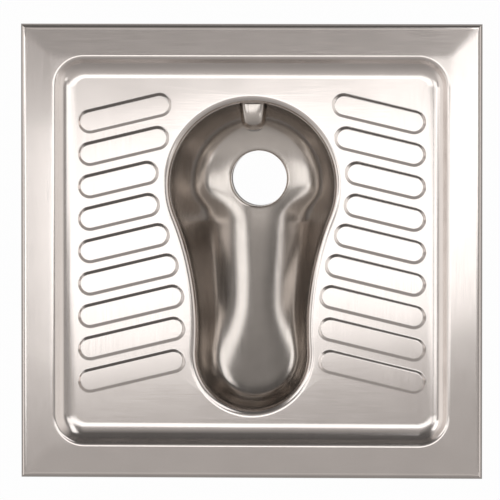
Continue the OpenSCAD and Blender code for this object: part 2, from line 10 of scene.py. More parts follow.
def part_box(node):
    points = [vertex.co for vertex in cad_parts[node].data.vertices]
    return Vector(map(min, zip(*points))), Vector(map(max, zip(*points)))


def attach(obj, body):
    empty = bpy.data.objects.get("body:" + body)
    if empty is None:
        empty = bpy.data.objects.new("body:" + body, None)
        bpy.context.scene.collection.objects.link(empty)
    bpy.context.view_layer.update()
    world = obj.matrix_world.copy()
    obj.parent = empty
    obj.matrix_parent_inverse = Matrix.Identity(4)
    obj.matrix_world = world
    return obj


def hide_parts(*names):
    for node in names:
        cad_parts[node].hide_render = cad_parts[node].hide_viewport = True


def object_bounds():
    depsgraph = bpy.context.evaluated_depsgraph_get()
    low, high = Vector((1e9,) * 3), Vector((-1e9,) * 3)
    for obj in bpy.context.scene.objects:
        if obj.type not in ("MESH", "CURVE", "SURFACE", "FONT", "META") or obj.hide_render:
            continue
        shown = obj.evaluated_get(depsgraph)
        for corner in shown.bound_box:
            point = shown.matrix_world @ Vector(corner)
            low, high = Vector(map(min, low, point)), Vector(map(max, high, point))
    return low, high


bl_info = {
    "name": "Squat toilet pan",
    "version": (1, 0, 0),
    "blender": (4, 5, 0),
    "location": "View3D > Sidebar > Squat pan",
    "description": "Models and finishes a pressed steel squat toilet pan",
    "category": "Object",
}

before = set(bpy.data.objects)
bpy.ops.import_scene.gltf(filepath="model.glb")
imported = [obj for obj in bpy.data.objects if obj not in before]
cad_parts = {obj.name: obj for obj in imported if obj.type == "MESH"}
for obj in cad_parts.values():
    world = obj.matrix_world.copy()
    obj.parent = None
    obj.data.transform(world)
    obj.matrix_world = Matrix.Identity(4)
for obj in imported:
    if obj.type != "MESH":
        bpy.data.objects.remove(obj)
cad_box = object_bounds()

MM = 0.001
Z_AXIS = (0, 0, 1)
SAME = 1e-6  # Metres. Heights and places that differ by less are the same.
MERGE = 0.02 * MM  # Points of a spun shape that are closer than this become one.


def linear(hex_colour):
    """Linear red, green and blue of an sRGB hex colour."""
    parts = [int(hex_colour[i : i + 2], 16) / 255 for i in (1, 3, 5)]
    return tuple(c / 12.92 if c <= 0.04045 else ((c + 0.055) / 1.055) ** 2.4 for c in parts)


def length(name, description, millimetres):
    """Property for a length, given in millimetres."""
    return bpy.props.FloatProperty(
        name=name, description=description, default=millimetres * MM, unit="LENGTH", precision=4
    )


def angle(name, description, degrees):
    """Property for an angle, given in degrees."""
    return bpy.props.FloatProperty(
        name=name, description=description, default=radians(degrees), unit="ROTATION", subtype="ANGLE"
    )


def colour(name, description, hex_colour):
    """Property for a colour, given as sRGB hex."""
    return bpy.props.FloatVectorProperty(
        name=name, description=description, default=linear(hex_colour), subtype="COLOR", size=3
    )


class DeckSizes(bpy.types.PropertyGroup):
    pan_w: length("Pan width", "Width of the pan from side to side", 610)
    pan_d: length("Pan depth", "Depth of the pan from front to back", 600)
    sheet: length("Sheet", "Thickness of the pressed sheet", 1.2)
    rim_h: length("Rim height", "Height of the rim's top above the floor", 12)
    rim_w: length("Rim width", "From the pan's edge to the start of the step", 41)
    rim_fall: length("Rim fall", "How far the flat rim falls towards its edge", 1.6)
    edge_r: length("Edge radius", "Radius of the rim's rolled outer edge", 7.5)
    fold_r: length("Fold radius", "Radius of the fold above the lip", 2.5)
    lip_w: length("Lip width", "Width of the lip folded in under the rim", 12)
    tray_fall: length("Tray fall", "Fall from the rim down to the tray", 16)
    step_slope: angle("Step slope", "Slope of the step between rim and tray", 46)
    step_corner_r: length("Step corner", "Corner radius of the step at the rim", 43)
    step_top_r: length("Step top bend", "Radius of the step's upper bend", 8)
    step_foot_r: length("Step foot bend", "Radius of the step's lower bend", 30)
    tread_count: bpy.props.IntProperty(name="Treads", description="Treads on each side", default=9)
    tread_pitch: length("Tread pitch", "Distance from one tread to the next", 42.9)
    tread_mid_y: length("Tread middle", "Place of the middle tread's outer end", -1)
    tread_w: length("Tread width", "Width of a tread at its foot", 33)
    tread_h: length("Tread height", "Height of a tread above the tray", 2.6)
    tread_slope: angle("Tread slope", "Slope of a tread's sides", 36)
    tread_bend_r: length("Tread bend", "Bend radius of a tread's edges", 2)
    tread_angle: angle("Tread angle", "How far a tread turns back towards the bowl", 13.4)
    tread_outer_x: length("Tread outer end", "Distance of the outer ends from the middle", 231)
    tread_reach: length("Tread reach", "Longest tread, measured across the pan", 143.5)
    back_row_cut: length("Back row cut", "How much shorter the back row's treads are", 18)
    tread_gap: length("Tread gap", "Flat strip between the treads and the bowl's rounded edge", 3.5)


class BowlSizes(bpy.types.PropertyGroup):
    back_r: length("Back radius", "Radius of the bowl's wide back end", 109)
    front_r: length("Front radius", "Radius of its front end", 73)
    ends_apart: length("Ends apart", "Distance between the centres of the two ends", 223.5)
    waist_r: length("Waist radius", "Radius of the hollow sides between them", 400)
    back_y: length("Back centre", "Place of the back end's centre", 86.5)
    mouth_r: length("Mouth radius", "Radius of the tray's edge where it turns down", 11)
    collar_h: length("Collar depth", "Depth of the collar in the bowl", 16)
    lap_gap: length("Lap gap", "Gap between the collar and the bowl", 0.4)
    weld_w: length("Weld flange", "Width of the flange welded to the tray", 14)
    drain_depth: length("Drain depth", "Depth of the bowl at the drain, below the tray", 150)
    front_depth: length("Front depth", "Depth of the trough where it meets the front wall", 60)
    front_curve: length("Front curve", "How far in from the mouth the front wall curves into the floor", 28)
    back_curve: length("Back curve", "How far in the wall curves round the drain", 46)
    trough_pitch: angle("Trough pitch", "Slope of the trough's bottom where it meets the drain", 15)
    front_flat: length("Front flat", "Half the trough's flat bottom at its front", 20)
    waist_flat: length("Waist flat", "Half its flat bottom at the waist", 2)
    neck_flat: length("Neck flat", "Half its flat bottom where it nears the drain", 5)
    front_bottom_r: length("Front bottom radius", "Radius of the trough's sides at its front", 150)
    trough_r: length("Trough radius", "Radius of the trough's sides from the waist to the drain", 77)
    dish_r: length("Dish radius", "Radius of the dish round the drain", 150)
    dish_flat: length("Dish flat", "How far out from the drain's middle the dish would be level", 16)
    drain_y: length("Drain place", "Place of the drain behind the middle", 90)
    neck_d: length("Neck diameter", "Outside diameter of the drain's neck", 76)
    neck_wall: length("Neck wall", "Wall of the drain's neck", 1.2)
    neck_flange_w: length("Neck flange", "Width of the neck's welding flange", 10)
    spreader_w: length("Spreader width", "Width of the spreader at the wall", 37)
    spreader_tip_w: length("Spreader tip", "Width of the spreader at its tip", 32)
    spreader_reach: length("Spreader reach", "Reach of the spreader into the bowl", 40)


class Finishes(bpy.types.PropertyGroup):
    deck_steel: colour("Deck steel", "Satin stainless sheet of the deck", "#E0D9D5")
    # The bowl's steel is the deck's stainless made darker: painted shade standing in for the dim reflections
    # inside the deep bowl.
    bowl_steel: colour("Bowl steel", "Drawn stainless sheet of the bowl", "#CBC4BE")
    tube_steel: colour("Tube steel", "Rolled stainless tube", "#CFCAC6")
    channel_steel: colour("Channel steel", "Mill finish rolled channel", "#BEBDBC")
    zinc: colour("Zinc", "Bright zinc plating", "#C9CBCF")
    galvanised: colour("Galvanised", "Hot dip galvanised strap", "#A9ADB0")
    floor: colour("Floor", "Tone of the floor in reflections and in the light that it throws back", "#A8A6A4")


def sizes():
    return bpy.context.scene.pan_deck_sizes


def bowl_sizes():
    return bpy.context.scene.pan_bowl_sizes


# ---- Sections and outlines ----


def bend(centre, r, start, end, steps):
    """Points of a round bend, from one angle to another."""
    turn = (end - start) / steps
    return [
        (centre[0] + r * cos(start + turn * i), centre[1] + r * sin(start + turn * i))
        for i in range(steps + 1)
    ]


def bend_run(drop, r_top, r_foot, slope):
    """Width of an S-bend that falls by drop."""
    both = r_top + r_foot
    return both * sin(slope) + (drop - both * (1 - cos(slope))) / tan(slope)


def s_bend(drop, r_top, r_foot, slope, steps):
    """Section from a level edge down to a lower level, as (run, height) pairs from (0, 0)."""
    run = bend_run(drop, r_top, r_foot, slope)
    return bend((0, -r_top), r_top, pi / 2, pi / 2 - slope, steps) + bend(
        (run, r_foot - drop), r_foot, 1.5 * pi - slope, 1.5 * pi, steps
    )


def tray_height():
    """Height of the tray's top, which lies below the floor."""
    return sizes().rim_h - sizes().tray_fall


class Keyhole:
    """Outline of the bowl's mouth: two round ends joined by hollow sides."""

    BACK_STEPS, SIDE_STEPS, FRONT_STEPS = 104, 26, 72  # Points along each arc.

    def __init__(self, b):
        self.b = b
        self.front_y = b.back_y - b.ends_apart
        side_a, side_b = b.back_r + b.waist_r, b.front_r + b.waist_r
        rise = (side_a**2 - side_b**2 + b.ends_apart**2) / (2 * b.ends_apart)
        self.waist_x = sqrt(side_a**2 - rise**2)
        self.waist_y = b.back_y - rise
        self.back_a = atan2(self.waist_y - b.back_y, self.waist_x)
        self.front_a = atan2(self.waist_y - self.front_y, self.waist_x)
        side = self.front_a - self.back_a
        # Each arc: centre, radius, sign of an outward offset, first angle, turn, steps.
        self.arcs = [
            ((0, b.back_y), b.back_r, 1, self.back_a, pi - 2 * self.back_a, self.BACK_STEPS),
            ((-self.waist_x, self.waist_y), b.waist_r, -1, -self.back_a, -side, self.SIDE_STEPS),
            ((0, self.front_y), b.front_r, 1, pi - self.front_a, pi + 2 * self.front_a, self.FRONT_STEPS),
            ((self.waist_x, self.waist_y), b.waist_r, -1, pi + self.front_a, -side, self.SIDE_STEPS),
        ]
        self.count = sum(arc[5] for arc in self.arcs)

    def start(self):
        """Place where the first arc starts."""
        (x, y), r, _, first, _, _ = self.arcs[0]
        return Vector((x + r * cos(first), y + r * sin(first), 0))

    def point(self, number, off):
        """Point of the outline, off outside the mouth."""
        number %= self.count
        for (x, y), r, sign, first, turn, steps in self.arcs:
            if number < steps:
                a = first + turn * number / steps
                return x + (r + sign * off) * cos(a), y + (r + sign * off) * sin(a)
            number -= steps

    def inside(self, x, y):
        """How far a place lies inside the mouth."""
        b = self.b
        x = abs(x)
        a = atan2(y - self.waist_y, self.waist_x - x)
        if a > atan2(b.back_y - self.waist_y, self.waist_x):
            return b.back_r - hypot(x, y - b.back_y)
        if a < atan2(self.front_y - self.waist_y, self.waist_x):
            return b.front_r - hypot(x, y - self.front_y)
        return hypot(x - self.waist_x, y - self.waist_y) - b.waist_r

    def spin_round(self, bm, geom):
        """Spins a section, or one point, all the way round the mouth."""
        for (x, y), _, _, _, turn, steps in self.arcs:
            geom = bmesh.ops.spin(
                bm, geom=geom, cent=(x, y, 0), axis=Z_AXIS, angle=turn, steps=steps, use_merge=False
            )["geom_last"]
        bmesh.ops.remove_doubles(bm, verts=bm.verts[:], dist=MERGE)


# ---- Mesh helpers ----


def draw_chain(bm, points):
    """Edge chain through points. Returns its vertices and edges."""
    verts = [bm.verts.new(point) for point in points]
    return verts + [bm.edges.new(pair) for pair in zip(verts, verts[1:])]


def draw_section(bm, points, at=(0, 0, 0), turned=0.0):
    """Edge chain through (x, z) points in an upright plane turned about Z."""
    at = Vector(at)
    return draw_chain(bm, [at + Vector((x * cos(turned), x * sin(turned), z)) for x, z in points])


def fresh_parts(geom):
    """Vertices that an extrusion made, and the edges that join them."""
    verts = [g for g in geom if isinstance(g, bmesh.types.BMVert)]
    fresh = set(verts)
    edges = [g for g in geom if isinstance(g, bmesh.types.BMEdge) and fresh.issuperset(g.verts)]
    return verts, edges


def grow_rings(bm, edges, layer, rings):
    """Puts vertex number n of an edge loop at the first ring(n), then extrudes it to each next ring."""
    for vert in bm.verts:
        vert.co = rings[0](vert[layer])
    for ring in rings[1:]:
        verts, edges = fresh_parts(bmesh.ops.extrude_edge_only(bm, edges=edges)["geom"])
        for vert in verts:
            vert.co = ring(vert[layer])
    return edges


def turn_up(bm):
    """Turns the faces the same way round, so that most of their area faces up."""
    bmesh.ops.recalc_face_normals(bm, faces=bm.faces[:])
    if sum(f.normal.z * f.calc_area() for f in bm.faces) < 0:
        bmesh.ops.reverse_faces(bm, faces=bm.faces[:])


def join(bm, other):
    """Adds another mesh to this one."""
    mesh = bpy.data.meshes.new("joined")
    other.to_mesh(mesh)
    other.free()
    bm.from_mesh(mesh)
    bpy.data.meshes.remove(mesh)


def piece(name, bm, material, replaced, thickness, crease=None, weighted=True):
    """Makes an object of a mesh, with its wall and finish, that rides with the pan in place of a node."""
    for face in bm.faces:
        face.smooth = True
    if crease is not None:
        for edge in bm.edges:
            if len(edge.link_faces) == 2 and edge.calc_face_angle(0.0) > crease:
                edge.smooth = False
    mesh = bpy.data.meshes.new(name)
    bm.to_mesh(mesh)
    bm.free()
    made = bpy.data.objects.new(name, mesh)
    bpy.context.scene.collection.objects.link(made)
    mesh.materials.append(material)
    wall = made.modifiers.new("Sheet", "SOLIDIFY")
    wall.thickness = thickness
    wall.offset = -1
    if weighted:
        flats = made.modifiers.new("Flats", "WEIGHTED_NORMAL")
        flats.keep_sharp = True
        flats.weight = 80
    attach(made, "root")
    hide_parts(replaced)


# ---- Materials ----


def add(tree, kind, inputs=None, **settings):
    """Adds a node with its settings, and links or sets its inputs."""
    made = tree.nodes.new(kind)
    for name, value in settings.items():
        setattr(made, name, value)
    for socket, value in (inputs or {}).items():
        if isinstance(value, bpy.types.NodeSocket):
            tree.links.new(value, made.inputs[socket])
        else:
            made.inputs[socket].default_value = value
    return made


def metal(name, base, roughness, spread, grain, grain_depth, wave, wave_depth, stain, stain_size,
          rim_grain=False):
    """Metal with a fine grain, soft waves in the sheet and faint stains.

    grain is the grain's size along X, Y and Z. Sizes and depths are in millimetres. Where rim_grain
    is set, the grain turns so that it runs along each side of the pan.
    """
    material = bpy.data.materials.new(name)
    material.use_nodes = True
    tree = material.node_tree
    tree.nodes.clear()
    place = add(tree, "ShaderNodeTexCoord").outputs["Object"]

    # Each pattern: its size along X, Y and Z, its detail, and how far it is shifted.
    patterns = {
        "grain": (grain, 3.0, 3.1),
        "stain": ((stain_size,) * 3, 4.0, 1.7),
        "wave": ((wave,) * 3, 1.0, 5.3),
    }
    if rim_grain:
        patterns["across"] = ((grain[1], grain[0], grain[2]), 3.0, 8.7)
    noise = {}
    for pattern, (size, detail, shift) in patterns.items():
        scale = tuple(1 / (s * MM) for s in size)
        at = add(tree, "ShaderNodeMapping", {"Vector": place, "Scale": scale, "Location": (shift,) * 3})
        inputs = {"Vector": at.outputs[0], "Scale": 1.0, "Detail": detail}
        noise[pattern] = add(tree, "ShaderNodeTexNoise", inputs).outputs["Fac"]

    if rim_grain:
        spot = add(tree, "ShaderNodeSeparateXYZ", {"Vector": place})
        sides = [add(tree, "ShaderNodeMath", {0: spot.outputs[i]}, operation="ABSOLUTE") for i in (0, 1)]
        by_side = add(
            tree, "ShaderNodeMath", {0: sides[0].outputs[0], 1: sides[1].outputs[0]}, operation="GREATER_THAN"
        )
        noise["grain"] = add(
            tree, "ShaderNodeMix", {"Factor": by_side.outputs[0], "A": noise["grain"], "B": noise["across"]}
        ).outputs["Result"]

    most = {"From Min": 0.3, "From Max": 0.7}  # Nearly all of a noise lies between these.
    tone = add(
        tree, "ShaderNodeMapRange", {"Value": noise["stain"], **most, "To Min": 1 - stain, "To Max": 1.0}
    )
    tint = add(
        tree, "ShaderNodeMix", {"Factor": 1.0, "A": (*base, 1.0), "B": tone.outputs[0]},
        data_type="RGBA", blend_type="MULTIPLY",
    )
    gloss = add(
        tree, "ShaderNodeMapRange",
        {"Value": noise["grain"], **most, "To Min": roughness - spread, "To Max": roughness + spread},
    )
    grained = add(
        tree, "ShaderNodeBump", {"Height": noise["grain"], "Strength": 1.0, "Distance": grain_depth * MM}
    )
    waved = add(
        tree, "ShaderNodeBump",
        {"Height": noise["wave"], "Strength": 1.0, "Distance": wave_depth * MM, "Normal": grained.outputs[0]},
    )
    shader = add(
        tree, "ShaderNodeBsdfPrincipled",
        {"Base Color": tint.outputs["Result"], "Metallic": 1.0, "Roughness": gloss.outputs[0],
         "Normal": waved.outputs[0]},
    )
    add(tree, "ShaderNodeOutputMaterial", {"Surface": shader.outputs[0]})
    return material


# Each finish of the metal: the name of its colour, then its settings.
METALS = {
    # Satin polished sheet: the grain runs along each side of the rim and softens reflections.
    "satin_stainless_deck": ("deck_steel", dict(
        roughness=0.18, spread=0.03, grain=(40, 0.9, 1.5), grain_depth=0.0015,
        wave=90, wave_depth=0.25, stain=0.05, stain_size=60, rim_grain=True,
    )),
    # Deep drawn sheet, polished along the trough: long soft streaks. Its colour is darker than the deck's
    # same steel: painted shade of the deep bowl.
    "drawn_stainless_bowl": ("bowl_steel", dict(
        roughness=0.21, spread=0.03, grain=(2.5, 40, 40), grain_depth=0.0006,
        wave=60, wave_depth=0.06, stain=0.08, stain_size=30,
    )),
    # Strip cut and folded from sheet: satin, with short brush lines, in the bowl's darker colour with its
    # painted shade.
    "folded_stainless_strip": ("bowl_steel", dict(
        roughness=0.2, spread=0.04, grain=(1.2, 20, 20), grain_depth=0.004,
        wave=50, wave_depth=0.05, stain=0.08, stain_size=20,
    )),
    # Rolled and welded tube: fine lines from rolling.
    "rolled_stainless_tube": ("tube_steel", dict(
        roughness=0.26, spread=0.06, grain=(20, 20, 0.8), grain_depth=0.006,
        wave=60, wave_depth=0.03, stain=0.10, stain_size=15,
    )),
    # Mill finish channel: dull, with lengthwise rolling lines and grey bloom.
    "mill_finish_channel": ("channel_steel", dict(
        roughness=0.38, spread=0.08, grain=(1.0, 60, 1.0), grain_depth=0.008,
        wave=80, wave_depth=0.05, stain=0.16, stain_size=25,
    )),
    # Hot dip galvanised strap: dull grey with crystalline patches.
    "galvanised_strap": ("galvanised", dict(
        roughness=0.48, spread=0.10, grain=(3, 3, 3), grain_depth=0.02,
        wave=30, wave_depth=0.05, stain=0.22, stain_size=6,
    )),
    # Bright zinc plated fasteners: smooth, with fine marks round them.
    "zinc_plated_steel": ("zinc", dict(
        roughness=0.27, spread=0.06, grain=(2, 2, 0.7), grain_depth=0.006,
        wave=20, wave_depth=0.02, stain=0.12, stain_size=5,
    )),
}


def finish(name):
    """The finish of that name, made when it is first asked for."""
    if name in bpy.data.materials:
        return bpy.data.materials[name]
    tone, settings = METALS[name]
    return metal(name, getattr(bpy.context.scene.pan_finishes, tone), **settings)


# ---- Pieces ----


class PAN_OT_deck(bpy.types.Operator):
    """Presses the deck: rolled rim, step, tray, treads and the collar in the bowl's mouth"""

    bl_idname = "pan.deck"
    bl_label = "Deck"

    RIM_RINGS = 8  # Rings over the flat of the rim, where its rounded corners turn square.
    EDGE_START = radians(2)  # The rolled edge starts this far down its bend.

    def execute(self, context):
        s, b = sizes(), bowl_sizes()
        tray_z = tray_height()
        bm = bmesh.new()
        self.collar(bm, b, tray_z)
        self.treads(bm, s, b, tray_z)
        self.rim(bm, s)
        # The tray is what lies between the foot of the step, the treads and the mouth.
        edges = [
            e for e in bm.edges if e.is_boundary and all(abs(v.co.z - tray_z) < SAME for v in e.verts)
        ]
        bmesh.ops.triangle_fill(bm, use_beauty=True, use_dissolve=False, edges=edges, normal=Z_AXIS)
        turn_up(bm)
        piece(
            "deck_sheet", bm, finish("satin_stainless_deck"), "deck",
            thickness=s.sheet, crease=radians(30),
        )
        return {"FINISHED"}

    def collar(self, bm, b, tray_z):
        """The tray's edge, turned down round the mouth."""
        mouth = Keyhole(b)
        section = bend((b.mouth_r, tray_z - b.mouth_r), b.mouth_r, pi / 2, pi, steps=8)
        section.append((0, tray_z - b.collar_h))
        ring = bmesh.new()
        geom = draw_section(ring, section, mouth.start(), mouth.back_a)
        mouth.spin_round(ring, geom)
        join(bm, ring)

    def treads(self, bm, s, b, tray_z):
        """Raised foot treads: the section spun round each end and drawn along the sides."""
        side = (s.tread_h, s.tread_bend_r, s.tread_bend_r, s.tread_slope)
        flat = s.tread_w / 2 - bend_run(*side)
        top = tray_z + s.tread_h
        section = [(0, top)] + [(flat + x, top + z) for x, z in s_bend(*side, steps=5)]
        for row in range(s.tread_count):
            x, y, span = tread_place(s, b, row)
            one = bmesh.new()
            geom = draw_section(one, section, turned=-pi / 2)
            for centre, shift in ((0, span), (span, -span)):
                geom = bmesh.ops.spin(
                    one, geom=geom, cent=(centre, 0, 0), axis=Z_AXIS, angle=-pi, steps=14, use_merge=False
                )["geom_last"]
                edges = [g for g in geom if isinstance(g, bmesh.types.BMEdge)]
                verts, edges = fresh_parts(bmesh.ops.extrude_edge_only(one, edges=edges)["geom"])
                bmesh.ops.translate(one, verts=verts, vec=(shift, 0, 0))
                geom = verts + edges
            bmesh.ops.remove_doubles(one, verts=one.verts[:], dist=MERGE)
            turned = Matrix.Rotation(s.tread_angle, 3, "Z")
            bmesh.ops.rotate(one, verts=one.verts[:], cent=(0, 0, 0), matrix=turned)
            bmesh.ops.translate(one, verts=one.verts[:], vec=(x, y, 0))
            whole = one.verts[:] + one.edges[:] + one.faces[:]
            bmesh.ops.mirror(one, geom=whole, axis="X", merge_dist=-1)
            join(bm, one)

    def rim(self, bm, s):
        """Step, rim, rolled edge and folded lip, grown ring by ring from the foot of the step."""
        ring = bmesh.new()
        half_w, half_d, r = s.pan_w / 2 - s.rim_w, s.pan_d / 2 - s.rim_w, s.step_corner_r
        bmesh.ops.create_grid(ring, x_segments=1, y_segments=1, size=1)
        bmesh.ops.scale(ring, verts=ring.verts[:], vec=(half_w, half_d, 1))
        bmesh.ops.bevel(
            ring, geom=ring.verts[:], offset=r, segments=20, profile=0.5, affect="VERTICES", material=-1
        )
        layer = ring.verts.layers.int.new("number")
        face = ring.faces[:][0]
        base = [loop.vert.co.copy() for loop in face.loops]
        for number, loop in enumerate(face.loops):
            loop.vert[layer] = number
        edges = face.edges[:]
        bmesh.ops.delete(ring, geom=[face], context="FACES_ONLY")
        flat_w = s.rim_w - s.edge_r

        def at(off, height, square, falls=True):
            """Ring off outside the opening: rounded where square is 0, sharp where it is 1.

            It falls towards the pan's edge, as the rim does, unless falls is False.
            """

            def place(number):
                p = base[number]
                centre_x = max(-half_w + r, min(half_w - r, p.x))
                centre_y = max(-half_d + r, min(half_d - r, p.y))
                centre = Vector((centre_x, centre_y, 0))
                way = (p - centre).normalized()
                out = (r + off) * (1 + square * (1 / max(abs(way.x), abs(way.y)) - 1))
                q = centre + way * out
                if not falls:
                    return Vector((q.x, q.y, height))
                if off > flat_w + SAME:
                    return Vector((q.x, q.y, height - s.rim_fall))
                run = max(abs(q.x) - half_w, abs(q.y) - half_d, 0)
                return Vector((q.x, q.y, height - run * s.rim_fall / flat_w))

            return place

        rings = []
        for run, z in reversed(s_bend(s.tray_fall, s.step_top_r, s.step_foot_r, s.step_slope, steps=10)):
            rings.append(at(-run, s.rim_h + z, 0.0))
        for i in range(1, self.RIM_RINGS + 1):
            share = i / self.RIM_RINGS
            rings.append(at(flat_w * share, s.rim_h, share * share * (3 - 2 * share)))
        hip = (flat_w, s.rim_h - s.edge_r)
        for off, z in bend(hip, s.edge_r, pi / 2 - self.EDGE_START, 0, steps=10):
            rings.append(at(off, z, 1.0))
        fold = (s.rim_w - s.fold_r, s.fold_r)
        lip_end = (s.rim_w - s.lip_w, 0)
        for off, z in bend(fold, s.fold_r, 0, -pi / 2, steps=6) + [lip_end]:
            rings.append(at(off, z, 1.0, falls=False))
        grow_rings(ring, edges, layer, rings)
        join(bm, ring)


TREAD_TRIES = 14  # Steps in which a tread grows towards the mouth.


def tread_place(s, b, row):
    """Centre of a left tread's outer end, and the length between the centres of its ends.

    The tread grows by the room that is left before the mouth, until there is none. It never grows
    past the longest tread's reach.
    """
    x = -s.tread_outer_x + s.tread_w / 2
    y = s.tread_mid_y + ((s.tread_count - 1) / 2 - row) * s.tread_pitch
    mouth = Keyhole(b)
    outline = [mouth.point(i, 0) for i in range(mouth.count)]
    span = 0.0
    for _ in range(TREAD_TRIES):
        at = (x + span * cos(s.tread_angle), y + span * sin(s.tread_angle))
        near = min(hypot(q[0] - at[0], q[1] - at[1]) for q in outline)
        room = near - s.tread_w / 2 - b.mouth_r - s.tread_gap
        if room <= 0:
            break
        span += room
    reach = s.tread_reach - (s.back_row_cut if row == 0 else 0)
    return x, y, min(span, (reach - s.tread_w) / cos(s.tread_angle))


def soft_min(a, b, reach):
    """Lesser of two depths, rounded over where they cross."""
    near = max(reach - abs(a - b), 0) / reach
    return min(a, b) - near * near * reach / 4


STEEPEST = radians(58)  # The trough's sides grow no steeper than this.


def rise(off, r):
    """Height gained over a distance off the middle of a round bottom, straight once it is steep."""
    steep = r * sin(STEEPEST)
    if off < steep:
        return r - sqrt(r * r - off * off)
    return r - sqrt(r * r - steep * steep) + (off - steep) * tan(STEEPEST)


def mix_steps(value, stops):
    """Reading between (place, value) stops, level at each stop."""
    for (x0, v0), (x1, v1) in zip(stops, stops[1:]):
        if value <= x1:
            t = max(0.0, min(1.0, (value - x0) / (x1 - x0)))
            return v0 + (v1 - v0) * t**3 * (t * (6 * t - 15) + 10)
    return stops[-1][1]


class BowlShape:
    """Depth of the drawn bowl below the tray."""

    DRAIN_GAP = 0.6 * MM  # The drain hole is this much wider than the neck's bore, all round.
    LEDGE_W = 4 * MM  # Ledge round the drain hole.
    WALL_START = 2 * MM  # From the end of the collar down to the top of the wall.
    WAIST_Y = -60 * MM  # Where the trough is narrowest.
    NECK_REACH = 62 * MM  # From the drain forward to where the trough starts to widen.
    RUN_OUT = 24 * MM  # The trough's slope levels out over this length.

    def __init__(self, b, mouth):
        self.b = b
        self.drain_r = b.neck_d / 2 - b.neck_wall + self.DRAIN_GAP
        self.ledge_r = self.drain_r + self.LEDGE_W
        self.wall_top = b.collar_h + self.WALL_START
        # Places along the trough: its front end, the waist, where it nears the drain, and the drain.
        self.front = mouth.front_y - b.front_r
        self.foot = b.drain_y - b.neck_d / 2 - b.neck_flange_w
        waist, neck = self.WAIST_Y, b.drain_y - self.NECK_REACH
        self.radii = [
            (self.front, b.front_bottom_r), (waist, b.trough_r), (neck, b.trough_r), (b.drain_y, b.dish_r)
        ]
        self.flats = [
            (self.front, b.front_flat), (waist, b.waist_flat), (neck, b.neck_flat), (b.drain_y, b.dish_flat)
        ]
        self.dips = [(neck, 0), (b.drain_y, rise(self.drain_r - b.dish_flat, b.dish_r))]
        self.curves = [(waist, b.front_curve), (b.drain_y, b.back_curve)]
        run = self.foot - self.front
        self.curl = (b.drain_depth - b.front_depth - run * tan(b.trough_pitch)) / run**2

    def floor(self, x, y):
        """A ramp down to the drain, with a round bottom whose flat middle widens to take the drain."""
        b = self.b
        along = min(b.drain_y, max(self.front, y))
        to_go = -soft_min(along - self.foot, 0.0, self.RUN_OUT)
        ramp = to_go * tan(b.trough_pitch) + self.curl * to_go**2
        off = max(0.0, hypot(x, y - along) - mix_steps(along, self.flats))
        deepest = b.drain_depth + mix_steps(along, self.dips)
        return deepest - ramp - rise(off, mix_steps(along, self.radii))

    def depth(self, x, y, inside):
        """The wall turns from upright at the mouth to level at the floor, ever more gently."""
        to_floor = self.floor(x, y) - self.wall_top
        across = max(0.0, 1 - inside / mix_steps(y, self.curves))
        return self.wall_top + to_floor * sqrt(1 - across**3)


